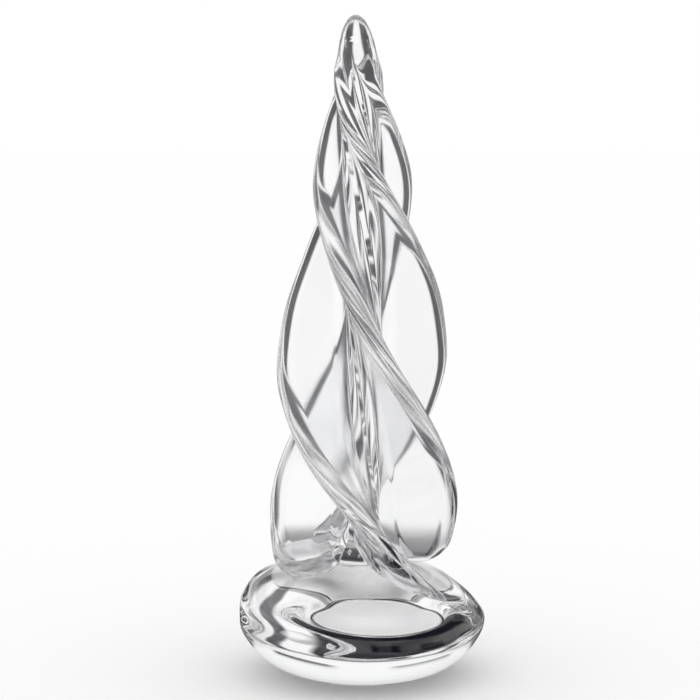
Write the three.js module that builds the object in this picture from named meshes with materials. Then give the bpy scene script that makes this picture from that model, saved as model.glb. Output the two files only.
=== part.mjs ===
// Clear solid glass tree: a spire of four twisted fins, joined hot onto a thick pebble foot.
// Millimetres, +Z up. The origin is the middle of the underside, on the surface that it stands on.
// Angles are degrees from the front, which is -Y, and grow towards the right, which is +X.

import * as THREE from "three";

// Whole object
const OVERALL_HEIGHT = 250;

// Foot: a pebble drawn as eight upright lines round the middle. Each list gives one value for each
// line, from the front round by the right. The left and the back are full, the front and the right slope.
const FOOT_HEIGHT = 43;
const FOOT_FLAT_REACHES = [21.5, 22.4, 24.5, 26.6, 27.5, 26.6, 24.5, 22.4];
const FOOT_BELLY_REACHES = [45, 45.5, 47, 46, 45, 45.9, 47, 46];
const FOOT_BELLY_LEVELS = [16, 17.4, 21.5, 21, 20, 20, 20, 18.6];
const FOOT_UNDERSIDE_ROUNDNESS = [1.55, 1.55, 1.55, 1.55, 1.55, 1.5, 1.5, 1.52];
const FOOT_CROWN_REACHES = [
  [43, 43.2, 44.3, 44.3, 44.5, 45.5, 46.5, 44.7],
  [36, 36.3, 37.8, 38.8, 41, 41.5, 42, 39.3],
  [28, 28.7, 30, 31.2, 32, 32.5, 33, 30.6],
  [21, 20.4, 20, 20, 20, 21, 22, 21.3],
];
const FOOT_CROWN_LEVELS = [
  [25.5, 24.6, 26.2, 28, 30, 29.5, 29, 27.8],
  [31, 30.6, 31.8, 34.3, 37, 36.5, 36, 34],
  [36, 35.3, 36.8, 38.7, 40.4, 40.2, 40, 38.4],
  [39.5, 38.9, 40.3, 40.8, 41.4, 41.2, 41, 40.4],
];
const FOOT_SIDES = 48;
const FOOT_STEPS = 18;

// Join wafer: the thin ring of glass that shows between the foot and the core
const WAFER_RADIUS = 12.5;
const WAFER_THICKNESS = 3.5;
const WAFER_EDGE_ROUND = 1.2;

// Core: one rod, flared where it lands on the wafer and drawn to a round tip
const CORE_RADIUS = 7.5;
const CORE_FLARE_LENGTH = 14;
const TIP_LENGTH = 20;
const TIP_FLAT_RADIUS = 0.6;
const ROUND_SIDES = 36;

// Spire axis: a little right of the foot's middle, and leaning left towards the tip
const SPIRE_SHIFT_RIGHT = 0.6;
const LEAN_START_LEVEL = 150;
const LEAN_AT_TIP = 3.2;
const LEAN_CURVE = 1.5;

// Fins: blades with a round rim, rooted on the core and set on the foot with a small clearance.
// Where a blade is low, near the tip, its fillet and rim are shares of its height.
const FIN_THICKNESS_LOW = 8.2;
const FIN_THICKNESS_HIGH = 5.8;
const FIN_ROOT_SPREAD = 1.1;
const FIN_FILLET = 4;
const LOW_BLADE_FILLET_SHARE = 0.35;
const LOW_BLADE_RIM_SHARE = 0.6;
const TOE_CURL = 9;
const ROOT_CLEARANCE = 0.3;
const TOE_CLEARANCE = 0.4;
const TOE_LEVELS = 8;
const FIN_LEVELS = 36;

// How far the fins reach from the axis at each station up the spire
const TOE_LEVEL = 32;
const TOE_REACH = 36;
const ANKLE_LEVEL = 41;
const ANKLE_REACH = 36;
const WAIST_LEVEL = 62;
const WAIST_REACH = 35.8;
const BELLY_LEVEL = 88;
const BELLY_REACH = 37.4;
const SHOULDER_LEVEL = 114;
const SHOULDER_REACH = 35.5;
const MIDDLE_LEVEL = 165;
const MIDDLE_REACH = 24;
const NECK_LEVEL = 208;
const NECK_REACH = 14.9;
const FIN_TOP_LEVEL = 231;
const FIN_TOP_REACH = 8.4;

// Where the back fin points at the same stations: a left-handed twist
const STATION_TURNS = [240, 217, 183, 147, 119, 60, -15, -65];

// Each fin is named after the side of the foot where it ends. It is set off from the back fin by an
// angle, and its end curls in over the foot by its own amount.
const FIN_OFFSETS = { fin_back: 0, fin_left: 82, fin_right: -94, fin_front: -182 };
const TOE_INSETS = { fin_back: 9, fin_left: 7, fin_right: 9, fin_front: 0 };

const SEAT_LEVEL = FOOT_HEIGHT;
const WAFER_TOP = SEAT_LEVEL + WAFER_THICKNESS;
const STATION_LEVELS = [
  TOE_LEVEL, ANKLE_LEVEL, WAIST_LEVEL, BELLY_LEVEL, SHOULDER_LEVEL, MIDDLE_LEVEL, NECK_LEVEL, FIN_TOP_LEVEL,
];
const STATION_REACHES = [
  TOE_REACH, ANKLE_REACH, WAIST_REACH, BELLY_REACH, SHOULDER_REACH, MIDDLE_REACH, NECK_REACH, FIN_TOP_REACH,
];

const clearGlass = new THREE.MeshStandardMaterial({ color: 0xf2f5f7, roughness: 0.03, metalness: 0 });

const radians = THREE.MathUtils.degToRad;

// A smooth curve of height through one value at each station
function throughStations(values) {
  const levels = STATION_LEVELS;
  const slope = (i) => {
    const before = Math.max(i - 1, 0);
    const after = Math.min(i + 1, levels.length - 1);
    return (values[after] - values[before]) / (levels[after] - levels[before]);
  };
  return (height) => {
    let i = 0;
    while (i < levels.length - 2 && height > levels[i + 1]) i += 1;
    const span = levels[i + 1] - levels[i];
    const t = (height - levels[i]) / span;
    const held = (1 + 2 * t) * (1 - t) ** 2 * values[i] + t * t * (3 - 2 * t) * values[i + 1];
    return held + span * (t * (1 - t) ** 2 * slope(i) - t * t * (1 - t) * slope(i + 1));
  };
}

// The triangles that close a level ring
function flatCap(ring) {
  return THREE.ShapeUtils.triangulateShape(ring.map((p) => new THREE.Vector2(p.x, p.y)), []);
}

// A closed body through rings of equal length, each counterclockwise seen from above
function loft(rings, cap = flatCap) {
  const count = rings[0].length;
  const index = [];
  for (let r = 0; r + 1 < rings.length; r += 1) {
    for (let i = 0; i < count; i += 1) {
      const a = r * count + i;
      const b = r * count + ((i + 1) % count);
      index.push(a, b, b + count, a, b + count, a + count);
    }
  }
  for (const [a, b, c] of cap(rings[0])) index.push(a, c, b);
  const last = (rings.length - 1) * count;
  for (const [a, b, c] of cap(rings.at(-1))) index.push(last + a, last + b, last + c);
  const geometry = new THREE.BufferGeometry();
  const position = rings.flat().flatMap((p) => p.toArray());
  geometry.setAttribute("position", new THREE.Float32BufferAttribute(position, 3));
  geometry.setIndex(index);
  geometry.computeVertexNormals();
  return geometry;
}

// The middle of the spire at a height
function axisAt(height) {
  const rise = Math.max(height - LEAN_START_LEVEL, 0) / (OVERALL_HEIGHT - LEAN_START_LEVEL);
  return SPIRE_SHIFT_RIGHT - LEAN_AT_TIP * rise ** LEAN_CURVE;
}

// A round ring about the spire axis
function roundRing(radius, height) {
  return Array.from({ length: ROUND_SIDES }, (_, i) => {
    const angle = (2 * Math.PI * i) / ROUND_SIDES;
    return new THREE.Vector3(axisAt(height) + radius * Math.cos(angle), radius * Math.sin(angle), height);
  });
}

// One upright line of the foot: along the underside from the flat's edge, round the belly, in over
// the crown to the wafer
function footKnots(side) {
  const flat = FOOT_FLAT_REACHES[side];
  const belly = FOOT_BELLY_REACHES[side];
  const power = 2 / FOOT_UNDERSIDE_ROUNDNESS[side];
  const knots = [[flat, 0]];
  for (const turn of [33, 62].map(radians)) {
    const reach = flat + (belly - flat) * Math.sin(turn) ** power;
    knots.push([reach, FOOT_BELLY_LEVELS[side] * (1 - Math.cos(turn) ** power)]);
  }
  knots.push([belly, FOOT_BELLY_LEVELS[side]]);
  FOOT_CROWN_REACHES.forEach((reaches, i) => knots.push([reaches[side], FOOT_CROWN_LEVELS[i][side]]));
  return [...knots, [WAFER_RADIUS, FOOT_HEIGHT]];
}

// Evenly spaced points on a smooth curve through the knots, upright where it passes the belly
function smoothLine(knots, bellyKnot) {
  const at = [0];
  for (let i = 1; i < knots.length; i += 1) {
    at.push(at[i - 1] + Math.hypot(knots[i][0] - knots[i - 1][0], knots[i][1] - knots[i - 1][1]));
  }
  const last = knots.length - 1;
  const run = (i, axis) => (knots[i + 1][axis] - knots[i][axis]) / (at[i + 1] - at[i]);
  const slope = (i, axis) => {
    if (i === bellyKnot) return axis;
    if (i === 0 || i === last) return run(Math.min(i, last - 1), axis);
    const below = at[i] - at[i - 1];
    const above = at[i + 1] - at[i];
    return (run(i - 1, axis) * above + run(i, axis) * below) / (below + above);
  };
  return Array.from({ length: FOOT_STEPS + 1 }, (_, k) => {
    const here = (at[last] * k) / FOOT_STEPS;
    let i = 0;
    while (i < last - 1 && here > at[i + 1]) i += 1;
    const span = at[i + 1] - at[i];
    const t = (here - at[i]) / span;
    return [0, 1].map((axis) => {
      const held = (1 + 2 * t) * (1 - t) ** 2 * knots[i][axis] + t * t * (3 - 2 * t) * knots[i + 1][axis];
      return held + span * (t * (1 - t) ** 2 * slope(i, axis) - t * t * (1 - t) * slope(i + 1, axis));
    });
  });
}

const footLines = FOOT_FLAT_REACHES.map((_, side) => smoothLine(footKnots(side), 3));

// A point of the foot's skin. The angle is from the front towards the right, and the step runs from
// the flat's edge to the wafer.
function footPoint(angle, step) {
  const place = ((angle / (Math.PI / 4)) % 8 + 8) % 8;
  const first = Math.floor(place);
  const t = place - first;
  const low = Math.min(Math.floor(step), FOOT_STEPS - 1);
  const [reach, height] = [0, 1].map((axis) => {
    const [a, b, c, d] = [7, 8, 9, 10].map((k) => {
      const line = footLines[(first + k) % 8];
      return line[low][axis] * (1 - step + low) + line[low + 1][axis] * (step - low);
    });
    const held = (1 + 2 * t) * (1 - t) ** 2 * b + t * t * (3 - 2 * t) * c;
    return held + t * (1 - t) ** 2 * (c - a) / 2 - t * t * (1 - t) * (d - b) / 2;
  });
  const middle = SPIRE_SHIFT_RIGHT * Math.max(2 * step / FOOT_STEPS - 1, 0);
  return new THREE.Vector3(middle + reach * Math.sin(angle), -reach * Math.cos(angle), height);
}

// The height of the foot's crown over a point, found by closing in on the step that passes under it
function crownLevel(x, y) {
  let low = FOOT_STEPS / 2;
  let high = FOOT_STEPS;
  for (let i = 0; i < 20; i += 1) {
    const step = (low + high) / 2;
    const middle = SPIRE_SHIFT_RIGHT * (2 * step / FOOT_STEPS - 1);
    const skin = footPoint(Math.atan2(x - middle, -y), step);
    if (Math.hypot(x - middle, y) > Math.hypot(skin.x - middle, skin.y)) high = step;
    else low = step;
  }
  return footPoint(Math.atan2(x, -y), low).z;
}

function footGeometry() {
  const rings = Array.from({ length: FOOT_STEPS + 1 }, (_, step) => (
    Array.from({ length: FOOT_SIDES }, (_, i) => footPoint((2 * Math.PI * i) / FOOT_SIDES, step))
  ));
  return loft(rings);
}

function waferGeometry() {
  const inner = WAFER_RADIUS - WAFER_EDGE_ROUND;
  const profile = [[inner, SEAT_LEVEL]];
  const middle = SEAT_LEVEL + WAFER_THICKNESS / 2;
  for (const turn of [-60, -30, 0, 30, 60]) {
    const reach = inner + WAFER_EDGE_ROUND * Math.cos(radians(turn));
    profile.push([reach, middle + (WAFER_THICKNESS / 2) * Math.sin(radians(turn))]);
  }
  profile.push([inner, WAFER_TOP]);
  return loft(profile.map(([radius, height]) => roundRing(radius, height)));
}

// The core flares out to meet the wafer, and keeps the wafer's width beside it
function coreRadiusAt(height) {
  const left = Math.min(Math.max(1 - (height - WAFER_TOP) / CORE_FLARE_LENGTH, 0), 1);
  return CORE_RADIUS + (WAFER_RADIUS - CORE_RADIUS) * left ** 2;
}

function coreGeometry() {
  const tipStart = OVERALL_HEIGHT - TIP_LENGTH;
  const rings = [];
  const flareSteps = 5;
  for (let i = 0; i < flareSteps; i += 1) {
    const height = WAFER_TOP + (CORE_FLARE_LENGTH * i) / flareSteps;
    rings.push(roundRing(coreRadiusAt(height), height));
  }
  const shaftStart = WAFER_TOP + CORE_FLARE_LENGTH;
  const shaftSteps = 12;
  for (let i = 0; i < shaftSteps; i += 1) {
    rings.push(roundRing(CORE_RADIUS, shaftStart + ((tipStart - shaftStart) * i) / shaftSteps));
  }
  const tipSteps = 8;
  const tipEnd = Math.acos(TIP_FLAT_RADIUS / CORE_RADIUS);
  for (let i = 0; i <= tipSteps; i += 1) {
    const turn = (tipEnd * i) / tipSteps;
    const height = tipStart + (TIP_LENGTH * Math.sin(turn)) / Math.sin(tipEnd);
    rings.push(roundRing(CORE_RADIUS * Math.cos(turn), height));
  }
  return loft(rings);
}

const reachCurve = throughStations(STATION_REACHES);
const turnCurve = throughStations(STATION_TURNS);

// The reach of a fin, curled in at its lower end where it rests on the foot
function reachAt(height, fin) {
  const up = Math.min(Math.max((height - fin.toeLevel) / TOE_CURL, 0), 1);
  return reachCurve(height) - fin.inset * (1 - Math.sqrt(1 - (1 - up) ** 2));
}

// One fin section, counterclockwise, as points at one height:
// a hollow fillet off the core, a flat flank, the round rim, and back along the root
function finSection(height, fin) {
  const root = coreRadiusAt(height) + ROOT_CLEARANCE;
  const reach = reachAt(height, fin);
  const blade = reach - root;
  const rise = Math.max(height - SEAT_LEVEL, 0) / (FIN_TOP_LEVEL - SEAT_LEVEL);
  const half = (FIN_THICKNESS_LOW + (FIN_THICKNESS_HIGH - FIN_THICKNESS_LOW) * rise) / 2;
  const fillet = Math.min(FIN_FILLET, LOW_BLADE_FILLET_SHARE * blade);
  const rim = Math.min(half, LOW_BLADE_RIM_SHARE * blade);
  const corner = half + FIN_ROOT_SPREAD;
  const halfAngle = Math.asin(corner / root);
  const climb = root + fillet - Math.sqrt(root ** 2 - half ** 2);
  const flank = [];
  for (const turn of [0, 30, 60, 90].map(radians)) {
    const across = half + (corner - half) * (1 - Math.sin(turn));
    flank.push([Math.sqrt(root ** 2 - across ** 2) + climb * (1 - Math.cos(turn)), across]);
  }
  const flat = blade - fillet - rim;
  for (const part of [0.25, 0.5, 0.75]) flank.push([root + fillet + flat * part, half]);
  for (const turn of [0, 36, 66].map(radians)) {
    flank.push([reach - rim + rim * Math.sin(turn), half * Math.cos(turn)]);
  }
  const inner = [0.6, 0.2, -0.2, -0.6].map((part) => {
    const angle = part * halfAngle;
    return [root * Math.cos(angle), root * Math.sin(angle)];
  });
  const right = flank.map(([out, across]) => [out, -across]);
  const turn = radians(turnCurve(height) + fin.offset);
  return [...right, [reach, 0], ...flank.toReversed(), ...inner].map(([out, across]) => {
    const x = out * Math.sin(turn) + across * Math.cos(turn);
    const y = -out * Math.cos(turn) + across * Math.sin(turn);
    return new THREE.Vector3(axisAt(height) + x, y, height);
  });
}

// Where each column of a fin comes down to the foot's crown
function toeHeights(fin) {
  return finSection(SEAT_LEVEL, fin).map((_, column) => {
    let height = SEAT_LEVEL;
    for (let i = 0; i < 16; i += 1) {
      const point = finSection(height, fin)[column];
      height = (height + crownLevel(point.x, point.y) + TOE_CLEARANCE) / 2;
    }
    return height;
  });
}

// The triangles that close a fin's end: the root between its fillets, then rungs from flank to flank
// out to the tip, so that the end follows the crown below it
function finCap(ring) {
  const tip = (ring.length - 5) / 2;
  const triangles = [[tip - 1, tip, tip + 1]];
  for (let i = 3; i < tip - 1; i += 1) {
    const across = 2 * tip - i;
    triangles.push([i, i + 1, across - 1], [i, across - 1, across]);
  }
  const root = ring.map((_, i) => i).filter((i) => i <= 3 || i >= 2 * tip - 3);
  for (const corners of flatCap(root.map((i) => ring[i]))) triangles.push(corners.map((i) => root[i]));
  return triangles;
}

function finGeometry(offset, inset) {
  const fin = { offset, inset, toeLevel: 0 };
  const turn = radians(turnCurve(TOE_LEVEL) + offset);
  const reach = TOE_REACH - inset;
  fin.toeLevel = crownLevel(reach * Math.sin(turn), -reach * Math.cos(turn));
  const toes = toeHeights(fin);
  const rings = [];
  for (let i = -TOE_LEVELS; i <= FIN_LEVELS; i += 1) {
    rings.push(toes.map((toe, column) => {
      const low = i < 0 ? toe : FIN_TOP_LEVEL;
      const share = i < 0 ? -i / TOE_LEVELS : i / FIN_LEVELS;
      return finSection(WAFER_TOP + (low - WAFER_TOP) * share, fin)[column];
    }));
  }
  return loft(rings, finCap);
}

function addPiece(group, name, geometry) {
  const mesh = new THREE.Mesh(geometry, clearGlass.clone());
  mesh.name = name;
  group.add(mesh);
}

const sculpture = new THREE.Group();
sculpture.name = "glass_tree";
addPiece(sculpture, "foot", footGeometry());
addPiece(sculpture, "join_wafer", waferGeometry());
addPiece(sculpture, "core", coreGeometry());
for (const [name, offset] of Object.entries(FIN_OFFSETS)) {
  addPiece(sculpture, name, finGeometry(offset, TOE_INSETS[name]));
}

export default sculpture;
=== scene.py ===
# %% [markdown]
# # A clear glass tree
# The sculpture is solid glass, worked hot: a core rod with four twisted fins, set on a pebble foot.
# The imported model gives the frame, in metres, with +Z up and the middle of the underside at the
# origin. Angles below are measured from the front, which is -Y, and grow towards the right.

# %% Load the frame
from math import asin, atan2, cos, hypot, pi, radians, sin, sqrt

import bmesh
import bpy
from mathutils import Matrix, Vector


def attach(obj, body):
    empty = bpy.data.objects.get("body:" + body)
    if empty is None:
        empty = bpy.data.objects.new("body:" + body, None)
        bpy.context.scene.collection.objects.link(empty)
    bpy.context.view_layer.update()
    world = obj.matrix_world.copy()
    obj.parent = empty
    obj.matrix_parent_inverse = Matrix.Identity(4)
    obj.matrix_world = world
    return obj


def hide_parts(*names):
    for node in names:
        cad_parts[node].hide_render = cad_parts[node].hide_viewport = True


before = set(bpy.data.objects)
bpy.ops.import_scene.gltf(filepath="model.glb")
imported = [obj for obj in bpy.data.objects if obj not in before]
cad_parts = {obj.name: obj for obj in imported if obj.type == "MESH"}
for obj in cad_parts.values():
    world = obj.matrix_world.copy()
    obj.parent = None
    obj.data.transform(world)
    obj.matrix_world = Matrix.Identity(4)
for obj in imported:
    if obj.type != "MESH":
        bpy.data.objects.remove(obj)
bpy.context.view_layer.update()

MM = 0.001

# %% [markdown]
# ## Camera
# The photograph looks down on the foot and slightly up at the tip. A camera at about three object
# heights does that, standing at four fifths of the object's height. Its place and lens were found by
# laying the model's outline over that of the photograph.

# %% Camera
CAMERA_DISTANCE = 763.7 * MM
CAMERA_RISE = 6.0
AIM_LEVEL = 127.3 * MM
AIM_LOWER = 0.22
CAMERA_SHIFT_LEFT = 4.7 * MM
LENS = 103.6

camera_data = bpy.data.cameras.new("studio_camera")
camera_data.lens = LENS
camera = bpy.data.objects.new("studio_camera", camera_data)
bpy.context.scene.collection.objects.link(camera)
camera.location = (
    -CAMERA_SHIFT_LEFT,
    -CAMERA_DISTANCE * cos(radians(CAMERA_RISE)),
    AIM_LEVEL + CAMERA_DISTANCE * sin(radians(CAMERA_RISE)),
)
camera.rotation_euler = (radians(90 - CAMERA_RISE - AIM_LOWER), 0, 0)
bpy.context.scene.camera = camera
print("camera at", [round(v, 3) for v in camera.location])

# %% [markdown]
# ## The spire's axis and the core
# The core runs up the middle. Low down it is straight, and in its upper part it leans a little to
# the left, as a hand-drawn rod does. It flares where it lands on the wafer of glass at the hot join,
# and its tip is half an egg. The wafer's edge bulges, because it was squeezed while soft.

# %% Axis and core
OVERALL_HEIGHT = 250 * MM
WAFER_BOTTOM = 43 * MM
WAFER_TOP = 46.5 * MM
WAFER_RADIUS = 12.5 * MM
WAFER_BULGE = 0.7 * MM
CORE_RADIUS = 7.5 * MM
CORE_FLARE_LENGTH = 14 * MM
TIP_LENGTH = 20 * MM
SPIRE_SHIFT_RIGHT = 0.6 * MM
LEAN_START_LEVEL = 150 * MM
LEAN_AT_TIP = 3.2 * MM
LEAN_CURVE = 1.5


def axis_at(height):
    """How far right of the foot's middle the spire's axis runs at a height."""
    rise = max(height - LEAN_START_LEVEL, 0) / (OVERALL_HEIGHT - LEAN_START_LEVEL)
    return SPIRE_SHIFT_RIGHT - LEAN_AT_TIP * rise ** LEAN_CURVE


def core_radius(height):
    """Radius of the core at a height, with the wafer's bulged edge below it."""
    tip_start = OVERALL_HEIGHT - TIP_LENGTH
    if height > tip_start:
        rise = min((height - tip_start) / TIP_LENGTH, 1)
        return CORE_RADIUS * sqrt(1 - rise ** 2)
    if height < WAFER_TOP:
        part = min(max((height - WAFER_BOTTOM) / (WAFER_TOP - WAFER_BOTTOM), 0), 1)
        return WAFER_RADIUS + WAFER_BULGE * sqrt(1 - (2 * part - 1) ** 2)
    left = max(1 - (height - WAFER_TOP) / CORE_FLARE_LENGTH, 0)
    return CORE_RADIUS + (WAFER_RADIUS - CORE_RADIUS) * left ** 2


sample_levels = (43, 45, 60, 240)
print("core radius in mm at", sample_levels, [round(core_radius(z * MM) / MM, 2) for z in sample_levels])

# %% [markdown]
# ## The foot's form
# The foot is a pebble of glass, full at the left and behind, and sloping at the front and right.
# What it shows inside depends on this form, because the glass bends and mirrors all that is seen
# through it. So it is drawn as eight upright lines round the middle, from the flat below to the
# wafer above. A smooth curve runs through the points of each line, and another joins the lines
# round. Each list gives one value for each line, in mm, from the front round by the right.

# %% Foot form
FOOT_HEIGHT = 43
FOOT_FLAT_REACHES = [21.5, 22.4, 24.5, 26.6, 27.5, 26.6, 24.5, 22.4]
FOOT_BELLY_REACHES = [45, 45.5, 47, 46, 45, 45.9, 47, 46]
FOOT_BELLY_LEVELS = [16, 17.4, 21.5, 21, 20, 20, 20, 18.6]
FOOT_UNDERSIDE_ROUNDNESS = [1.55, 1.55, 1.55, 1.55, 1.55, 1.5, 1.5, 1.52]
FOOT_CROWN_REACHES = [
    [43, 43.2, 44.3, 44.3, 44.5, 45.5, 46.5, 44.7],
    [36, 36.3, 37.8, 38.8, 41, 41.5, 42, 39.3],
    [28, 28.7, 30, 31.2, 32, 32.5, 33, 30.6],
    [21, 20.4, 20, 20, 20, 21, 22, 21.3],
]
FOOT_CROWN_LEVELS = [
    [25.5, 24.6, 26.2, 28, 30, 29.5, 29, 27.8],
    [31, 30.6, 31.8, 34.3, 37, 36.5, 36, 34],
    [36, 35.3, 36.8, 38.7, 40.4, 40.2, 40, 38.4],
    [39.5, 38.9, 40.3, 40.8, 41.4, 41.2, 41, 40.4],
]
FOOT_UNDERSIDE_TURNS = (33, 62)
FOOT_BELLY_KNOT = 3
FOOT_LINES = len(FOOT_FLAT_REACHES)
FOOT_RINGS = 66


def foot_knots(side):
    """One upright line of the foot: reaches and heights from the flat's edge up to the wafer."""
    flat, belly = FOOT_FLAT_REACHES[side], FOOT_BELLY_REACHES[side]
    power = 2 / FOOT_UNDERSIDE_ROUNDNESS[side]
    knots = [(flat, 0)]
    for turn in map(radians, FOOT_UNDERSIDE_TURNS):
        reach = flat + (belly - flat) * sin(turn) ** power
        knots.append((reach, FOOT_BELLY_LEVELS[side] * (1 - cos(turn) ** power)))
    knots.append((belly, FOOT_BELLY_LEVELS[side]))
    for reaches, levels in zip(FOOT_CROWN_REACHES, FOOT_CROWN_LEVELS):
        knots.append((reaches[side], levels[side]))
    return knots + [(WAFER_RADIUS / MM, FOOT_HEIGHT)]


print("the front line's knots in mm", [(round(reach, 1), round(z, 1)) for reach, z in foot_knots(0)])

# %% [markdown]
# A smooth curve between two points follows from the points and from its slopes there. Each slope is
# taken from the stretches on both sides of a point, so that one stretch runs into the next. At the
# belly the line has to stand upright, or the foot would be widest somewhere else.

# %% Smooth lines
def hermite(t, first, last, first_slope, last_slope):
    """A smooth curve's value between two points, from their values and slopes."""
    held = (1 + 2 * t) * (1 - t) ** 2 * first + t * t * (3 - 2 * t) * last
    return held + t * (1 - t) ** 2 * first_slope - t * t * (1 - t) * last_slope


def smooth_line(knots, upright, count):
    """Evenly spaced points on a smooth curve through the knots, upright at the knot of that number."""
    at = [0.0]
    for before, after in zip(knots, knots[1:]):
        at.append(at[-1] + hypot(after[0] - before[0], after[1] - before[1]))
    last = len(knots) - 1

    def run(i, axis):
        return (knots[i + 1][axis] - knots[i][axis]) / (at[i + 1] - at[i])

    def slope(i, axis):
        if i == upright:
            return axis
        if i in (0, last):
            return run(min(i, last - 1), axis)
        below, above = at[i] - at[i - 1], at[i + 1] - at[i]
        return (run(i - 1, axis) * above + run(i, axis) * below) / (below + above)

    line = []
    i = 0
    for k in range(count + 1):
        here = at[-1] * k / count
        while i < last - 1 and here > at[i + 1]:
            i += 1
        span = at[i + 1] - at[i]
        t = (here - at[i]) / span
        line.append([
            hermite(t, knots[i][axis], knots[i + 1][axis], span * slope(i, axis), span * slope(i + 1, axis))
            for axis in (0, 1)
        ])
    return line


foot_lines = [smooth_line(foot_knots(side), FOOT_BELLY_KNOT, FOOT_RINGS) for side in range(FOOT_LINES)]
print(len(foot_lines), "lines of", len(foot_lines[0]), "points")

# %% [markdown]
# The eight lines are now joined round the foot by the same kind of curve. The crown's height over any
# place is needed too, because the fins come down onto it.

# %% The foot's skin
CLOSING_STEPS = 16


def foot_middle(ring):
    """How far right of the foot's middle a ring lies: the crown leans over to the spire's axis."""
    return SPIRE_SHIFT_RIGHT * max(2 * ring / FOOT_RINGS - 1, 0)


def on_line(line, ring, axis):
    """The reach or the height, in mm, at a ring or between two rings of an upright line."""
    points = foot_lines[line % FOOT_LINES]
    low = min(int(ring), FOOT_RINGS - 1)
    return points[low][axis] * (1 - ring + low) + points[low + 1][axis] * (ring - low)


def foot_point(angle, ring):
    """A point of the foot's skin: the ring runs from 0 at the flat's edge to the last at the wafer."""
    place = angle / (2 * pi / FOOT_LINES) % FOOT_LINES
    first = int(place)
    value = []
    for axis in (0, 1):
        before, here, after, beyond = (on_line(first + k, ring, axis) for k in (-1, 0, 1, 2))
        slopes = (after - before) / 2, (beyond - here) / 2
        value.append(hermite(place - first, here, after, *slopes) * MM)
    reach, height = value
    return Vector((foot_middle(ring) + reach * sin(angle), -reach * cos(angle), height))


def crown_level(x, y):
    """Height of the foot's top over a point, found by closing in on the ring that passes under it."""
    low, high = FOOT_RINGS / 2, float(FOOT_RINGS)
    for _ in range(CLOSING_STEPS):
        ring = (low + high) / 2
        skin = foot_point(atan2(x - foot_middle(ring), -y), ring)
        outside = hypot(x - foot_middle(ring), y) > hypot(skin.x - foot_middle(ring), skin.y)
        low, high = (low, ring) if outside else (ring, high)
    return skin.z


sample_reach = 20 * MM
sample_angles = [2 * pi * side / FOOT_LINES for side in range(FOOT_LINES)]
samples = [crown_level(sample_reach * sin(a), -sample_reach * cos(a)) for a in sample_angles]
print("crown in mm, 20 mm from the axis, each 45 degrees", [round(level / MM, 1) for level in samples])

# %% [markdown]
# ## Fins
# A fin's section is a hollow fillet off the core, a nearly flat flank and a round rim. Its reach and
# turn are kept at a few stations up the spire, and a smooth curve runs through them. The same curve
# shapes every fin, so the four stay a set, and each then gets small waves of its own, as worked by
# hand. The lower end is a rounded lobe that settles on the slope of the foot. It widens there, as
# soft glass does when it is pressed on, each fin by its own share. At the top the fin runs out into
# the core: where its blade stands out by less than a millimetre, it fades onto the core's circle.

# %% Stations
FIN_END_LEVEL = 241 * MM
STATION_LEVELS = [level * MM for level in (32, 41, 62, 88, 114, 165, 208, 231)]
STATION_REACHES = [reach * MM for reach in (36, 36, 35.8, 37.4, 35.5, 24, 14.9, 8.5)]
STATION_TURNS = [240, 217, 183, 147, 119, 60, -15, -65]
FINS = {
    "fin_back": {"offset": 0, "toe_inset": 9 * MM, "toe_curl": 9 * MM, "toe_spread": 0.4, "phase": 0.4},
    "fin_left": {"offset": 82, "toe_inset": 7 * MM, "toe_curl": 9 * MM, "toe_spread": 1.1, "phase": 2.1},
    "fin_front": {"offset": 178, "toe_inset": 0 * MM, "toe_curl": 8 * MM, "toe_spread": 0.9, "phase": 3.7},
    "fin_right": {"offset": 266, "toe_inset": 9 * MM, "toe_curl": 9 * MM, "toe_spread": 0.4, "phase": 5.2},
}
FIN_HALF_LOW = 4.8 * MM
FIN_HALF_HIGH = 3.3 * MM
FIN_ROOT_SPREAD = 1.1 * MM
FIN_FILLET = 5.0 * MM
FADE_BLADE = 1.0 * MM
TOE_ROUND = 3.2 * MM
TOE_GAP = 0.12 * MM
TOE_SPREAD_RISE = 20 * MM
HAND_WAVE = 0.3 * MM


def through_stations(height, values):
    """A smooth curve of height through one value at each station."""
    levels = STATION_LEVELS
    last = len(levels) - 1
    i = 0
    while i < last - 1 and height > levels[i + 1]:
        i += 1

    def slope(k):
        before, after = max(k - 1, 0), min(k + 1, last)
        return (values[after] - values[before]) / (levels[after] - levels[before])

    span = levels[i + 1] - levels[i]
    t = (height - levels[i]) / span
    if t < 0:
        return values[0] + (height - levels[0]) * slope(0)
    return hermite(t, values[i], values[i + 1], span * slope(i), span * slope(i + 1))


sample_turns = [round(through_stations(z * MM, STATION_TURNS)) for z in range(40, 231, 30)]
print("turns in degrees, each 30 mm from 40 mm up", sample_turns)

# %% [markdown]
# A hand-worked fin is never even. Two slow waves up its height, one about twice as quick as the other,
# change its reach by some tenths of a millimetre and its thickness by less. The roots of neighbours
# must not touch on the core, so each is held to a share of the core's radius.

# %% Reach and thickness up the spire
REACH_WAVE_PACE = 11
WIDTH_WAVE_PACE = 17
QUICK_WAVE_SHARE = 0.6
QUICK_WAVE_PACE = 2.3
QUICK_WAVE_START = 1
LEAST_BLADE = 0.01 * MM
ROOT_LIMIT = 0.64


def fin_rise(height):
    """How far up the fin a height is, from 0 at the wafer to 1 at the fin's top."""
    return min(max((height - WAFER_BOTTOM) / (FIN_END_LEVEL - WAFER_BOTTOM), 0), 1)


def hand_wave(height, fin, pace):
    """A slow unevenness up the fin, which fades out at its top."""
    turn = height / MM / pace + fin["phase"]
    quick = QUICK_WAVE_SHARE * sin(QUICK_WAVE_PACE * turn + QUICK_WAVE_START)
    return (sin(turn) + quick) * (1 - fin_rise(height) ** 3)


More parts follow.
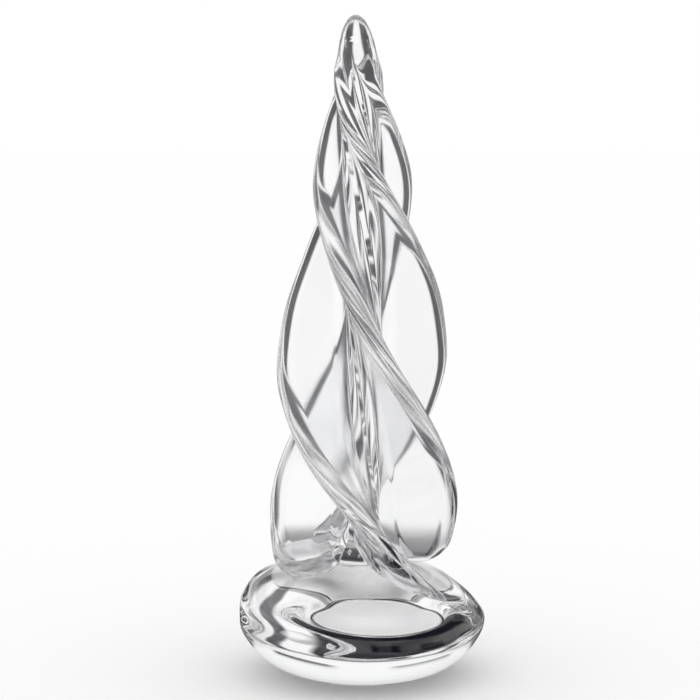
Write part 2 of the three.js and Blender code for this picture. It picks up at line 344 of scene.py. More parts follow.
def fin_reach(height, fin):
    """Reach of the rim from the axis: curled in at the toe, and sunk into the tip at the top."""
    top = STATION_LEVELS[-1]
    if height > top:
        low = STATION_REACHES[-1] - core_radius(top)
        left = max(1 - (height - top) / (FIN_END_LEVEL - top), 0)
        return core_radius(height) + max(low * left ** 2, LEAST_BLADE)
    up = min(max((height - fin["toe_level"]) / fin["toe_curl"], 0), 1)
    curl = fin["toe_inset"] * (1 - sqrt(1 - (1 - up) ** 2))
    wave = HAND_WAVE * hand_wave(height, fin, REACH_WAVE_PACE)
    return through_stations(height, STATION_REACHES) - curl + wave


def fin_half(height):
    """Half of the fin's thickness."""
    return FIN_HALF_LOW + (FIN_HALF_HIGH - FIN_HALF_LOW) * fin_rise(height)


def fin_corner(height):
    """Half of the width in which the fin's fillets land on the core."""
    return min(fin_half(height) + FIN_ROOT_SPREAD, ROOT_LIMIT * core_radius(height))


sample_reaches = [fin_reach(z * MM, dict(FINS["fin_left"], toe_level=0)) for z in (60, 120, 180, 235)]
print("the left fin's reach in mm at 60, 120, 180 and 235 mm", [round(r / MM, 1) for r in sample_reaches])

# %% [markdown]
# A section is a loop of columns. Each column is named by the part of the section that it is on, and
# by its share of the way along that part. The loop is the same at every height, so one column is
# one clean line of the mesh, from the toe to the fin's top.

# %% A point of the fin
WIDTH_WAVE_SHARE = 0.5
WIDTH_WAVE_BLADE = 8 * MM
FILLET_OF_BLADE = 0.35
RIM_OF_BLADE = 0.6
RIM_LENGTH = 1.4
WITHIN_CORE = 0.99
TOE_MIDDLE = 0.5
LANDING_STEPS = 14


def fin_point(column, height, fin, narrow=1.0):
    """One point of the fin's section at a height. The toe's underside is drawn narrow."""
    kind, share = column
    root = core_radius(height)
    blade = fin_reach(height, fin) - root
    wave = WIDTH_WAVE_SHARE * HAND_WAVE * hand_wave(height, fin, WIDTH_WAVE_PACE)
    half = fin_half(height) + wave * min(blade / WIDTH_WAVE_BLADE, 1)
    half *= 1 + fin["toe_spread"] * max(1 - (height - fin["toe_level"]) / TOE_SPREAD_RISE, 0) ** 2
    corner = fin_corner(height)
    side = -1 if share < 0 else 1
    turn = abs(share) * pi / 2
    if kind == "root":
        angle = share * asin(corner / root) * narrow
        out, across = root * cos(angle), root * sin(angle)
    else:
        if kind == "fillet":
            fillet = min(FIN_FILLET, FILLET_OF_BLADE * blade)
            climb = root + fillet - sqrt(root ** 2 - half ** 2)
            across = half + (corner - half) * (1 - sin(turn))
            out = sqrt(root ** 2 - (across * narrow) ** 2) + climb * (1 - cos(turn))
        else:
            rim = min(RIM_LENGTH * half, RIM_OF_BLADE * blade)
            across = half * cos(turn)
            out = root + blade - rim + rim * sin(turn)
        on_circle = sqrt(root ** 2 - min(across * narrow, WITHIN_CORE * root) ** 2)
        out = on_circle + (out - on_circle) * min(blade / FADE_BLADE, 1)
        across *= side * narrow
    angle = radians(through_stations(height, STATION_TURNS) + fin["offset"])
    x = axis_at(height) + out * sin(angle) + across * cos(angle)
    return Vector((x, -out * cos(angle) + across * sin(angle), height))


def toe_height(column, fin):
    """Where a column of the fin comes down to the foot's crown."""
    height = WAFER_BOTTOM
    for _ in range(LANDING_STEPS):
        point = fin_point(column, height, fin, TOE_MIDDLE)
        height = 0.5 * height + 0.5 * (crown_level(point.x, point.y) + TOE_GAP)
    return height


rim_point = fin_point(("rim", 1.0), 120 * MM, dict(FINS["fin_left"], toe_level=0))
print("the left fin's rim 120 mm up", [round(v / MM, 1) for v in rim_point])

# %% [markdown]
# The columns run round the outside from one side of the root to the other, then back across the root
# on the core. The sections start with the toe's round, which begins as a line along the fin's middle
# and opens to the full width. Above it the levels stand closer together low down, where the toe
# curls, than higher up.

# %% Fin sections
FILLET_STEPS = 10
RIM_STEPS = 10
ROOT_STEPS = 8
FIN_LEVELS = 170
TOE_STEPS = 8
TOE_BLUNTNESS = 0.8
LEVEL_CROWDING = 1.5
TINY = 1e-6
OUTER_COLUMNS = [("fillet", -i / FILLET_STEPS if i else -TINY) for i in range(FILLET_STEPS + 1)]
OUTER_COLUMNS += [("rim", -i / RIM_STEPS if i else -TINY) for i in range(RIM_STEPS)]
OUTER_COLUMNS += [("rim", 1.0)]
OUTER_COLUMNS += [(kind, -share) for kind, share in reversed(OUTER_COLUMNS[:-1])]
ROOT_COLUMNS = [("root", 1 - 2 * i / ROOT_STEPS) for i in range(1, ROOT_STEPS)]


def toe_profile(step):
    """How narrow the toe's underside is, and how far down its round, at a step from its lowest line."""
    turn = pi / 2 * step / TOE_STEPS
    return sin(turn) ** TOE_BLUNTNESS, 1 - cos(turn) ** TOE_BLUNTNESS


def fin_sections(fin):
    """All sections of a fin, from the line under its toe to its top."""
    columns = OUTER_COLUMNS + ROOT_COLUMNS
    toes, seam = [], []
    for part in (OUTER_COLUMNS, ROOT_COLUMNS):
        side = [toe_height(column, fin) for column in part]
        toes += side
        seam += [(one + other) / 2 for one, other in zip(side, reversed(side))]
    sections = []
    for step in range(TOE_STEPS + 1):
        narrow, drop = toe_profile(step)
        section = []
        for column, toe, middle in zip(columns, toes, seam):
            level = middle + (toe - middle) * narrow + TOE_ROUND * drop
            section.append(fin_point(column, level, fin, narrow))
        sections.append(section)
    for step in range(1, FIN_LEVELS + 1):
        part = (step / FIN_LEVELS) ** LEVEL_CROWDING
        section = []
        for column, toe in zip(columns, toes):
            start = toe + TOE_ROUND
            section.append(fin_point(column, start + (FIN_END_LEVEL - start) * part, fin))
        sections.append(section)
    return sections


print(len(OUTER_COLUMNS), "columns round the outside and", len(ROOT_COLUMNS), "across the root")

# %% [markdown]
# ## Pulling glass through sections
# A worker draws hot glass out and turns it as it goes. The same move models it here: a circle of
# points is laid on the first section, and is extruded again and again, each time onto the next
# section. A spin or a lathe would be shorter, but nothing on this object is truly round.

# %% Helpers for pulled pieces
MERGE_REACH = 0.002 * MM


def selected_ring(mesh):
    """The points of the one selected face, in order."""
    face = next(f for f in mesh.faces if f.select)
    return [loop.vert for loop in face.loops]


def pull_through(name, sections):
    """Extrude a circle of points through a list of sections, into one closed piece."""
    bpy.ops.object.select_all(action="DESELECT")
    bpy.ops.mesh.primitive_circle_add(vertices=len(sections[0]), fill_type="NGON")
    piece = bpy.context.active_object
    piece.name = name
    bpy.ops.object.mode_set(mode="EDIT")
    bpy.ops.mesh.select_all(action="SELECT")
    for step, section in enumerate(sections):
        if step:
            bpy.ops.mesh.extrude_region_move()
        mesh = bmesh.from_edit_mesh(piece.data)
        for vertex, point in zip(selected_ring(mesh), section):
            vertex.co = point
    bmesh.update_edit_mesh(piece.data)
    bpy.ops.mesh.select_all(action="SELECT")
    bpy.ops.mesh.normals_make_consistent(inside=False)
    bpy.ops.object.mode_set(mode="OBJECT")
    bpy.ops.object.shade_smooth()
    return piece


def close_toe(piece):
    """The first section is a line: its two sides lie together. Its face goes, and the sides are merged."""
    bpy.ops.object.mode_set(mode="EDIT")
    bpy.ops.mesh.select_all(action="DESELECT")
    mesh = bmesh.from_edit_mesh(piece.data)
    wide = [face for face in mesh.faces if len(face.verts) > 4]
    lowest = min(wide, key=lambda face: min(v.co.z for v in face.verts))
    lowest.select_set(True)
    bmesh.update_edit_mesh(piece.data)
    bpy.ops.mesh.delete(type="ONLY_FACE")
    bpy.ops.mesh.select_all(action="SELECT")
    bpy.ops.mesh.remove_doubles(threshold=MERGE_REACH)
    bpy.ops.mesh.normals_make_consistent(inside=False)
    bpy.ops.object.mode_set(mode="OBJECT")


print("pieces are merged within", MERGE_REACH / MM, "mm")

# %% [markdown]
# The four fins are pulled one after another. Each first finds the level of the foot's crown under its
# rim, because that is where its toe starts to curl.

# %% Pull the fins
TOE_LOOK_LEVEL = 36 * MM
pieces = {}
for fin_name, fin in FINS.items():
    turn = radians(through_stations(TOE_LOOK_LEVEL, STATION_TURNS) + fin["offset"])
    reach = through_stations(TOE_LOOK_LEVEL, STATION_REACHES) - fin["toe_inset"]
    fin["toe_level"] = crown_level(reach * sin(turn), -reach * cos(turn))
    pieces[fin_name] = pull_through(fin_name + "_glass", fin_sections(fin))
    close_toe(pieces[fin_name])
    toe_level = round(fin["toe_level"] / MM, 1)
    print(fin_name, len(pieces[fin_name].data.polygons), "faces, toe at", toe_level, "mm")

# %% [markdown]
# ## Core and wafer
# The core's columns follow those of the fins' roots up the twist. So the melted faces of the two lie
# on each other, and only the narrow strips between the fins stay glass skin. The tip is pulled on in
# a quarter round, to a last ring so small that its end is a point. The wafer is pulled like the core.

# %% Rings of the core
VALLEY_STEPS = 6
CORE_LEVELS = 190
TIP_STEPS = 14
TIP_OPENING = 0.03
WAFER_STEPS = 14
ROOT_CLOSING = 2.5
LEAST_NARROW = 0.02


def root_narrow(height):
    """How narrow a fin's root is at a height: it closes in over the toe's round."""
    up = (height - WAFER_BOTTOM - TOE_GAP) / TOE_ROUND
    if up >= 1:
        return 1.0
    return (1 - (1 - max(up, 0)) ** ROOT_CLOSING) ** (1 / ROOT_CLOSING)


def root_spread(height):
    """Half of the angle that a fin's root covers on the core."""
    return asin(fin_corner(height) / core_radius(height)) * max(root_narrow(height), LEAST_NARROW)


def core_ring(height, radius):
    """One ring of the core: a fan of points under each fin's root, and a few across each valley."""
    section = []
    level = min(height, FIN_END_LEVEL)
    spread = root_spread(level)
    turn = radians(through_stations(level, STATION_TURNS))
    offsets = [radians(fin["offset"]) for fin in FINS.values()] + [2 * pi]
    for here, after in zip(offsets, offsets[1:]):
        angles = [here - spread + 2 * spread * k / ROOT_STEPS for k in range(ROOT_STEPS)]
        gap = after - here - 2 * spread
        angles += [here + spread + gap * k / VALLEY_STEPS for k in range(VALLEY_STEPS)]
        for angle in angles:
            a = turn + angle
            section.append(Vector((axis_at(height) + radius * sin(a), -radius * cos(a), height)))
    return section


sample_spreads = [round(2 * root_spread(z * MM), 2) for z in (60, 120, 180)]
print("a root covers", sample_spreads, "radians of the core at 60, 120 and 180 mm")

# %% Pull the core and the wafer
span = FIN_END_LEVEL - WAFER_TOP
heights = [WAFER_TOP + span * i / CORE_LEVELS for i in range(CORE_LEVELS + 1)]
rings = [core_ring(height, core_radius(height)) for height in heights]
first_turn = asin((FIN_END_LEVEL - OVERALL_HEIGHT + TIP_LENGTH) / TIP_LENGTH)
for i in range(1, TIP_STEPS + 1):
    turn = first_turn + (pi / 2 - TIP_OPENING - first_turn) * i / TIP_STEPS
    height = OVERALL_HEIGHT - TIP_LENGTH + TIP_LENGTH * sin(turn)
    rings.append(core_ring(height, core_radius(height)))
pieces["core"] = pull_through("core_glass", rings)

rises = [(1 - cos(pi * i / WAFER_STEPS)) / 2 for i in range(WAFER_STEPS + 1)]
heights = [WAFER_BOTTOM + (WAFER_TOP - WAFER_BOTTOM) * rise for rise in rises]
pieces["join_wafer"] = pull_through("join_wafer_glass", [core_ring(h, core_radius(h)) for h in heights])
print("core", len(pieces["core"].data.polygons), "faces, wafer", len(pieces["join_wafer"].data.polygons))

# %% [markdown]
# ## Air bubbles
# Small bubbles were caught where the two hot bits met. A bubble is a hollow, so it is a small ball
# whose faces look inwards, within the glass of the join. It is stretched upwards, as a drawn bubble
# is. Each row gives a bubble's place and its radius in mm.

# %% Bubbles
BUBBLE_STRETCH = 1.6
BUBBLES = [
    (-4.5, -7.5, 47.6, 0.75), (-1.2, -9.2, 46.3, 0.5), (2.6, -8.2, 48.4, 0.6), (6.2, -6.4, 46.8, 0.9),
    (8.1, -3.8, 49.0, 0.5), (0.8, -6.0, 52.0, 0.4), (-7.4, -3.0, 46.9, 0.55), (4.4, -8.9, 46.2, 0.35),
]
for x, y, z, size in BUBBLES:
    bpy.ops.object.select_all(action="DESELECT")
    bpy.ops.mesh.primitive_uv_sphere_add(segments=18, ring_count=12, radius=size * MM, location=(0, 0, 0))
    bubble = bpy.context.active_object
    bpy.ops.object.mode_set(mode="EDIT")
    bpy.ops.mesh.select_all(action="SELECT")
    bpy.ops.transform.resize(value=(1, 1, BUBBLE_STRETCH))
    bpy.ops.transform.translate(value=(x * MM, y * MM, z * MM))
    bpy.ops.mesh.flip_normals()
    bpy.ops.object.mode_set(mode="OBJECT")
    bpy.ops.object.shade_smooth()
    pieces["core"].select_set(True)
    bpy.context.view_layer.objects.active = pieces["core"]
    bpy.ops.object.join()
print(len(BUBBLES), "bubbles at the join")

# %% [markdown]
# ## Foot
# The foot is pulled in one go: out over the flat below, up round the belly and in over the crown.
# It ends on a level disc under the wafer, where the two are melted together.

# %% Pull the foot
FOOT_SIDES = 160
FLAT_STEPS = 8

around = [2 * pi * i / FOOT_SIDES for i in range(FOOT_SIDES)]
sections = []
for step in range(1, FLAT_STEPS):
    sections.append([foot_point(angle, 0) * (step / FLAT_STEPS) for angle in around])
for ring in range(FOOT_RINGS + 1):
    sections.append([foot_point(angle, ring) for angle in around])
pieces["foot"] = pull_through("foot_glass", sections)
print("foot", len(pieces["foot"].data.polygons), "faces")

# %% [markdown]
# ## Glass
# The glass is clear, with no colour of its own beyond a breath of grey. Hand-worked glass is never
# quite even: faint cords of denser glass run through it, and its skin is a little wavy. Both come
# from slow noise, stretched upwards as the glass was drawn. The cords are in the colour. The waves
# are in a bump of two hundredths of a millimetre, because each skin bends the light once more.
# The two effects are one node group, so that every glass finish can take them with its own values.

# %% Cords and skin waves
DRAWN_OUT = (1, 1, 0.35)
CORD_DETAIL = 2
SKIN_DETAIL = 1
DENSE_GLASS = (0.955, 0.96, 0.97, 1)
THIN_GLASS = (0.995, 0.995, 1.0, 1)


def new_group(name, inputs, outputs):
    """An empty node group with named sockets, and the nodes that stand for its two ends."""
    group = bpy.data.node_groups.new(name, "ShaderNodeTree")
    for way, sockets in (("INPUT", inputs), ("OUTPUT", outputs)):
        for label, kind in sockets.items():
            group.interface.new_socket(label, in_out=way, socket_type="NodeSocket" + kind)
    return group, group.nodes.new("NodeGroupInput"), group.nodes.new("NodeGroupOutput")


def uneven_glass_group():
    """The tint of the cords and the height of the skin's waves, from a place in the piece."""
    inputs = {"Place": "Vector", "Cord Scale": "Float", "Skin Scale": "Float"}
    group, given, result = new_group("uneven_glass", inputs, {"Tint": "Color", "Skin Height": "Float"})
    links = group.links
    stretch = group.nodes.new("ShaderNodeMapping")
    stretch.inputs["Scale"].default_value = DRAWN_OUT
    links.new(given.outputs["Place"], stretch.inputs["Vector"])
    cords = group.nodes.new("ShaderNodeTexNoise")
    cords.inputs["Detail"].default_value = CORD_DETAIL
    links.new(given.outputs["Cord Scale"], cords.inputs["Scale"])
    links.new(stretch.outputs["Vector"], cords.inputs["Vector"])
    tint = group.nodes.new("ShaderNodeMix")
    tint.data_type = "RGBA"
    tint.inputs["A"].default_value = DENSE_GLASS
    tint.inputs["B"].default_value = THIN_GLASS
    links.new(cords.outputs["Fac"], tint.inputs["Factor"])
    links.new(tint.outputs["Result"], result.inputs["Tint"])
    waves = group.nodes.new("ShaderNodeTexNoise")
    waves.inputs["Detail"].default_value = SKIN_DETAIL
    links.new(given.outputs["Skin Scale"], waves.inputs["Scale"])
    links.new(stretch.outputs["Vector"], waves.inputs["Vector"])
    links.new(waves.outputs["Fac"], result.inputs["Skin Height"])
    return group


uneven_glass = uneven_glass_group()
print("uneven_glass has the sockets", [socket.name for socket in uneven_glass.interface.items_tree])

# %% [markdown]
# The foot is fire-polished and has no roughness. The spire gets a little, because on the real object
# the streaks seen through four fins are softer than four smooth blades would show them. The flat that
# the foot stands on is ground finely matt. Seen through the foot it is a pale ellipse, lit from the
# table. Too little of that light gets through the glass in a render, so a faint light of its own
# stands in for it.

# %% Clear glass
GLASS_IOR = 1.52
CORD_SCALE = 90
SKIN_SCALE = 70
SKIN_DEPTH = 0.02 * MM
SPIRE_ROUGHNESS = 0.1
GROUND_ROUGHNESS = 0.4
GROUND_TRANSMISSION = 0.45
GROUND_LIGHT = 0.4


def clear_glass(name, roughness, transmission=1.0):
    """A clear glass finish. The ground flat lets less through than the polished skin."""
    material = bpy.data.materials.new(name)
    material.use_nodes = True
    tree = material.node_tree
    shader = tree.nodes["Principled BSDF"]
    shader.inputs["Roughness"].default_value = roughness
    shader.inputs["IOR"].default_value = GLASS_IOR
    shader.inputs["Transmission Weight"].default_value = transmission
    place = tree.nodes.new("ShaderNodeTexCoord")
    uneven = tree.nodes.new("ShaderNodeGroup")
    uneven.node_tree = uneven_glass
    uneven.inputs["Cord Scale"].default_value = CORD_SCALE
    uneven.inputs["Skin Scale"].default_value = SKIN_SCALE
    tree.links.new(place.outputs["Object"], uneven.inputs["Place"])
    tree.links.new(uneven.outputs["Tint"], shader.inputs["Base Color"])
    bump = tree.nodes.new("ShaderNodeBump")
    bump.inputs["Strength"].default_value = 1.0
    bump.inputs["Distance"].default_value = SKIN_DEPTH
    tree.links.new(uneven.outputs["Skin Height"], bump.inputs["Height"])
    tree.links.new(bump.outputs["Normal"], shader.inputs["Normal"])
    return material


spire_glass = clear_glass("spire_glass", SPIRE_ROUGHNESS)
foot_glass = clear_glass("foot_glass", 0.0)
ground = clear_glass("ground_flat", GROUND_ROUGHNESS, GROUND_TRANSMISSION)
ground_shader = ground.node_tree.nodes["Principled BSDF"]
ground_shader.inputs["Emission Color"].default_value = (1, 1, 1, 1)
ground_shader.inputs["Emission Strength"].default_value = GROUND_LIGHT
print("finishes", spire_glass.name, foot_glass.name, ground.name)

# %% [markdown]
# ## Melted joins
# Where two pieces are melted together there is no surface at all, and light goes straight on. The
# pieces stay separate here, so that each has its own name. So the faces that touch a neighbour have
# to be found, and they get a finish that cannot be seen. Which faces touch follows from the form: the
# fins' roots lie on the core, and the core, the wafer and the foot meet end to end.

# %% Where pieces touch
CORE_TOLERANCE = 2e-6
FOOT_JOIN_LEVEL = 30 * MM


def on_core(point):
    """Whether a point lies on the skin of the core or wafer."""
    height = max(point.z, 0)
    reach = hypot(point.x - axis_at(height), point.y)
    return abs(reach - core_radius(height)) < CORE_TOLERANCE


def under_a_fin(face):
    """Whether a face of the core or wafer lies under the root of a fin."""
    height = face.center.z
    if height > FIN_END_LEVEL:
        return False
    angle = atan2(face.center.x - axis_at(height), -face.center.y)
    turn = through_stations(height, STATION_TURNS)
    for fin in FINS.values():
        away = (angle - radians(turn + fin["offset"]) + pi) % (2 * pi) - pi
        if abs(away) < root_spread(height):
            return True
    return False


def is_end(face):
    """Whether a face closes a piece. Faces along the sides have four corners at most."""
    return len(face.vertices) > 4


def is_melted(name, face, corners):
    """Whether a face touches a neighbour, with no skin between the two."""
    if name.startswith("fin"):
        return is_end(face) or all(on_core(corner) for corner in corners)
    if name == "foot":
        return is_end(face) and face.center.z > FOOT_JOIN_LEVEL
    if name == "core" and is_end(face):
        return face.center.z < FIN_END_LEVEL
    if name == "core":
        return on_core(corners[0]) and under_a_fin(face)
    return is_end(face) or under_a_fin(face)


for name, piece in pieces.items():
    print(name, "is closed by", sum(is_end(face) for face in piece.data.polygons), "wide faces")

# %% [markdown]
# Each face now gets its finish: glass, the unseen join, or the ground flat below the foot.

# %% A finish for each face
FLAT_TOLERANCE = 1e-6
GLASS_SLOT, MELTED_SLOT, GROUND_SLOT = 0, 1, 2


def melted_join():
    """A finish with no surface: light passes as if nothing were there."""
    material = bpy.data.materials.new("melted_join")
    material.use_nodes = True
    shader = material.node_tree.nodes["Principled BSDF"]
    shader.inputs["Alpha"].default_value = 0.0
    shader.inputs["Transmission Weight"].default_value = 1.0
    return material


melted = melted_join()
for name, piece in pieces.items():
    piece.data.materials.clear()
    piece.data.materials.append(foot_glass if name == "foot" else spire_glass)
    piece.data.materials.append(melted)
    piece.data.materials.append(ground)
    for face in piece.data.polygons:
        corners = [piece.data.vertices[i].co for i in face.vertices]
        face.material_index = MELTED_SLOT if is_melted(name, face, corners) else GLASS_SLOT
        if name == "foot" and all(corner.z < FLAT_TOLERANCE for corner in corners):
            face.material_index = GROUND_SLOT
    print(name, "melted faces", sum(face.material_index == MELTED_SLOT for face in piece.data.polygons))

# %% [markdown]
# ## One skin over the joins
# Seen from outside, the skin runs on from fin to core with no seam. Smooth shading stops at the edge
# of a mesh, so each point gets the mean direction of all the skin faces that meet there, also those
# of its neighbours. The directions are kept in the mesh as its own.

# %% Shared directions
ROUND_TO_MICRONS = 1e6


def place_key(mesh, loop):
    """The place of a face's corner, rounded so that points of two pieces count as one."""
    point = mesh.vertices[mesh.loops[loop].vertex_index].co
    return tuple(round(value * ROUND_TO_MICRONS) for value in point)


skin = {}
for piece in pieces.values():
    for face in piece.data.polygons:
        if face.material_index == MELTED_SLOT:
            continue
        for loop in face.loop_indices:
            key = place_key(piece.data, loop)
            skin[key] = skin.get(key, Vector()) + face.normal * face.area
for piece in pieces.values():
    normals = [Vector((0, 0, 1))] * len(piece.data.loops)
    for face in piece.data.polygons:
        for loop in face.loop_indices:
            if face.material_index == MELTED_SLOT or is_end(face):
                normals[loop] = face.normal.copy()
            else:
                normals[loop] = skin[place_key(piece.data, loop)].normalized()
    piece.data.normals_split_custom_set(normals)
print(len(skin), "places share their direction")

# %% [markdown]
# ## Floor
# The sculpture stands on a wide, pale, matt floor, which keeps its soft shadow. The floor lies a hair
# below the foot, so that the two never lie in the same place.

# %% Floor
FLOOR_DROP = 0.15 * MM
FLOOR_SIZE = 40
bpy.ops.object.select_all(action="DESELECT")
bpy.ops.mesh.primitive_plane_add(size=FLOOR_SIZE, location=(0, 0, -FLOOR_DROP))
floor = bpy.context.active_object
floor.name = "floor"
print("floor", FLOOR_SIZE, "m wide,", round(FLOOR_DROP / MM, 2), "mm under the foot")

# %% [markdown]
# ## Dark cards for the glass
# Clear glass in a white room is white on white, and its form can't be seen. So glass is photographed
# with dark cards round it, outside the picture. An edge bends the light so far that a card shows
# there, and the edge is drawn dark. Real cards would block light and show in other views, so here
# they are soft patterns on the floor and in the sky. Only rays that come from a mirroring or clear
# surface see them, and for the camera the floor and sky stay pale. The upright strips repeat at
# every eighth of a turn, so the object is drawn alike from each of them.

# %% Upright strips
STRIP_COUNT = 8
STRIP_EDGE_OUT = 0.6
STRIP_EDGE_IN = -0.2


def upright_strips_group():
    """Mask of upright dark cards round the object, from a direction's X and Y."""
    inputs = {"Direction": "Vector", "Edge In": "Float", "Edge Out": "Float"}
    group, given, result = new_group("upright_strips", inputs, {"Mask": "Float"})
    links = group.links
    split = group.nodes.new("ShaderNodeSeparateXYZ")
    links.new(given.outputs["Direction"], split.inputs[0])
    around = group.nodes.new("ShaderNodeMath")
    around.operation = "ARCTAN2"
    links.new(split.outputs["X"], around.inputs[0])
    links.new(split.outputs["Y"], around.inputs[1])
    repeat = group.nodes.new("ShaderNodeMath")
    repeat.operation = "MULTIPLY"
    repeat.inputs[1].default_value = STRIP_COUNT
    links.new(around.outputs[0], repeat.inputs[0])
    wave = group.nodes.new("ShaderNodeMath")
    wave.operation = "COSINE"
    links.new(repeat.outputs[0], wave.inputs[0])
    edge = group.nodes.new("ShaderNodeMapRange")
    edge.interpolation_type = "SMOOTHSTEP"
    links.new(wave.outputs[0], edge.inputs["Value"])
    links.new(given.outputs["Edge Out"], edge.inputs["From Min"])
    links.new(given.outputs["Edge In"], edge.inputs["From Max"])
    links.new(edge.outputs["Result"], result.inputs["Mask"])
    return group


upright_strips = upright_strips_group()


def place_strips(tree, direction):
    """Puts the strips into a material or world, and gives their mask."""
    node = tree.nodes.new("ShaderNodeGroup")
    node.node_tree = upright_strips
    tree.links.new(direction, node.inputs["Direction"])
    node.inputs["Edge Out"].default_value = STRIP_EDGE_OUT
    node.inputs["Edge In"].default_value = STRIP_EDGE_IN
    return node.outputs["Mask"]


print(STRIP_COUNT, "strips, one each", 360 / STRIP_COUNT, "degrees")

# %% [markdown]
# A card is a mask times the light that it takes away. Each mask has soft edges, made by a smooth step
# over a distance or a height. The darkest card at a place wins, and it turns the pale colour towards
# a near black with a trace of blue.

# %% Helpers for cards
CARD_BLACK = (0.001, 0.0, 0.006, 1)


def smooth_step(tree, source, low, high, first=0.0, last=1.0):
    """A value that goes smoothly from first to last while the source goes from low to high."""
    step = tree.nodes.new("ShaderNodeMapRange")
    step.interpolation_type = "SMOOTHSTEP"
    tree.links.new(source, step.inputs["Value"])
    step.inputs["From Min"].default_value = low
    step.inputs["From Max"].default_value = high
    step.inputs["To Min"].default_value = first
    step.inputs["To Max"].default_value = last
    return step.outputs["Result"]


def math_node(tree, kind, first, second):
    """A sum on two sources, each of them a socket or a plain number."""
    node = tree.nodes.new("ShaderNodeMath")
    node.operation = kind
    for socket, value in zip(node.inputs, (first, second)):
        if isinstance(value, (int, float)):
            socket.default_value = value
        else:
            tree.links.new(value, socket)
    return node.outputs[0]


def glass_ray(tree):
    """1 for rays that were mirrored or that passed through glass, and 0 for all others."""
    path = tree.nodes.new("ShaderNodeLightPath")
    return math_node(tree, "MAXIMUM", path.outputs["Is Glossy Ray"], path.outputs["Is Transmission Ray"])


def card(tree, mask, brightness):
    """The light that a card takes away: all but its own brightness, where its mask is full."""
    return math_node(tree, "MULTIPLY", mask, 1 - brightness)


def with_cards(tree, pale, cards):
    """A pale colour, darkened by the darkest of the cards for the rays that come from glass."""
    dark = cards[0]
    for other in cards[1:]:
        dark = math_node(tree, "MAXIMUM", dark, other)
    paint = tree.nodes.new("ShaderNodeMix")
    paint.data_type = "RGBA"
    paint.inputs["A"].default_value = (pale, pale, pale, 1)
    paint.inputs["B"].default_value = CARD_BLACK
    tree.links.new(math_node(tree, "MULTIPLY", dark, glass_ray(tree)), paint.inputs["Factor"])
    return paint.outputs["Result"]


print("a card's black is", CARD_BLACK[:3])

# %% [markdown]
# ## The floor's cards
# A black ring lies just outside the foot and makes the dark crescent inside it. A wider grey mat
# tones the lower fins, and a dark patch under the foot, painted shade that only the glass sees, keeps
# the join from washing out. The strips start further out. Radii are in metres from the middle, as
# pairs from one end of a soft edge to the other.

# %% The floor's look
FLOOR_PALE = 0.995
STRIP_BRIGHTNESS = 0.09
STRIPS_START = (0.25, 0.45)
RING_BRIGHTNESS = 0.003
RING_START = (0.050, 0.056)
RING_END = (0.11, 0.16)
MAT_BRIGHTNESS = 0.3
MAT_END = (0.14, 0.26)
UNDER_FOOT_SHADE_BRIGHTNESS = 0.1
UNDER_FOOT_SHADE_END = (0.024, 0.034)

floor_material = bpy.data.materials.new("pale_floor")
floor_material.use_nodes = True
tree = floor_material.node_tree
floor_shader = tree.nodes["Principled BSDF"]
floor_shader.inputs["Roughness"].default_value = 1.0
floor_shader.inputs["Specular IOR Level"].default_value = 0.0
place = tree.nodes.new("ShaderNodeTexCoord").outputs["Object"]
length = tree.nodes.new("ShaderNodeVectorMath")
length.operation = "LENGTH"
tree.links.new(place, length.inputs[0])
reach = length.outputs["Value"]
strips = math_node(tree, "MULTIPLY", place_strips(tree, place), smooth_step(tree, reach, *STRIPS_START))
outside = smooth_step(tree, reach, *RING_START)
ring = math_node(tree, "MULTIPLY", outside, smooth_step(tree, reach, *RING_END, 1, 0))
mat = math_node(tree, "MULTIPLY", outside, smooth_step(tree, reach, *MAT_END, 1, 0))
# Painted shade under the foot: the floor there is dark for the rays that come from glass.
under_foot_shade = smooth_step(tree, reach, *UNDER_FOOT_SHADE_END, 1, 0)
floor_cards = [
    card(tree, strips, STRIP_BRIGHTNESS),
    card(tree, ring, RING_BRIGHTNESS),
    card(tree, mat, MAT_BRIGHTNESS),
    card(tree, under_foot_shade, UNDER_FOOT_SHADE_BRIGHTNESS),
]
tree.links.new(with_cards(tree, FLOOR_PALE, floor_cards), floor_shader.inputs["Base Color"])
floor.data.materials.append(floor_material)
print(len(floor_cards), "cards on the floor")

# %% [markdown]
# ## The sky's cards
# The world is an even white sky, which lights the object from all sides. For the glass it has the
# strips' upper ends near the floor, a dark band about a third of the way up, which the fins' flanks
# mirror, and a dark ceiling for the tops of the foot and the fins. Heights are in degrees above the
# floor.

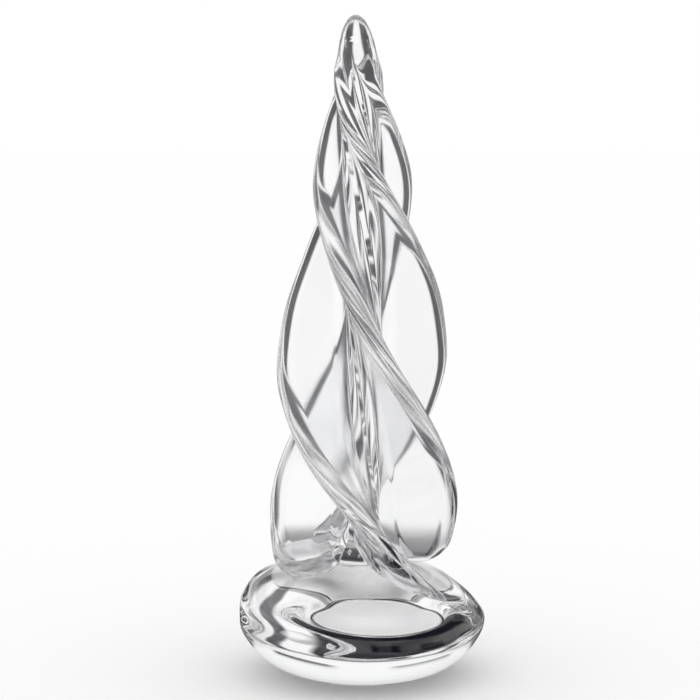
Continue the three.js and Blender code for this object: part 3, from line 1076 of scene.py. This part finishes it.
# %% The sky
SKY_PALE = 1.0
STRIPS_TOP = (7, 13)
BAND_BRIGHTNESS = 0.12
BAND_START = (20, 24)
BAND_END = (33, 39)
CEILING_BRIGHTNESS = 0.02
CEILING_START = (56, 64)


def sky_step(tree, up, edge, first=0.0, last=1.0):
    """A soft edge between two heights in the sky."""
    low, high = (sin(radians(height)) for height in edge)
    return smooth_step(tree, up, low, high, first, last)


world = bpy.data.worlds.new("studio")
bpy.context.scene.world = world
world.use_nodes = True
tree = world.node_tree
direction = tree.nodes.new("ShaderNodeTexCoord").outputs["Generated"]
split = tree.nodes.new("ShaderNodeSeparateXYZ")
tree.links.new(direction, split.inputs[0])
up = split.outputs["Z"]
strips = math_node(tree, "MULTIPLY", place_strips(tree, direction), sky_step(tree, up, STRIPS_TOP, 1, 0))
band = math_node(tree, "MULTIPLY", sky_step(tree, up, BAND_START), sky_step(tree, up, BAND_END, 1, 0))
sky_cards = [
    card(tree, strips, STRIP_BRIGHTNESS),
    card(tree, band, BAND_BRIGHTNESS),
    card(tree, sky_step(tree, up, CEILING_START), CEILING_BRIGHTNESS),
]
sky_colour = with_cards(tree, SKY_PALE, sky_cards)
tree.links.new(sky_colour, tree.nodes["Background"].inputs["Color"])
print(len(sky_cards), "cards in the sky")

# %% [markdown]
# ## How far light is followed
# Light crosses many skins of glass before it gets out again. With too few bounces, the render stops
# it half way and the glass turns black inside. Melted faces count as see-through, and have a limit
# of their own.

# %% Bounces
bpy.context.scene.view_settings.view_transform = "Standard"
cycles = bpy.context.scene.cycles
cycles.transparent_max_bounces = 64
cycles.max_bounces = 24
cycles.transmission_bounces = 24
cycles.glossy_bounces = 16
print("bounces", cycles.max_bounces, "see-through", cycles.transparent_max_bounces)

# %% [markdown]
# ## Finish
# Each piece takes the place of the CAD node with its name and rides on the object's one body.

# %% Finish
for name, piece in pieces.items():
    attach(piece, "root")
    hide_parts(name)
print("pieces", sorted(pieces))
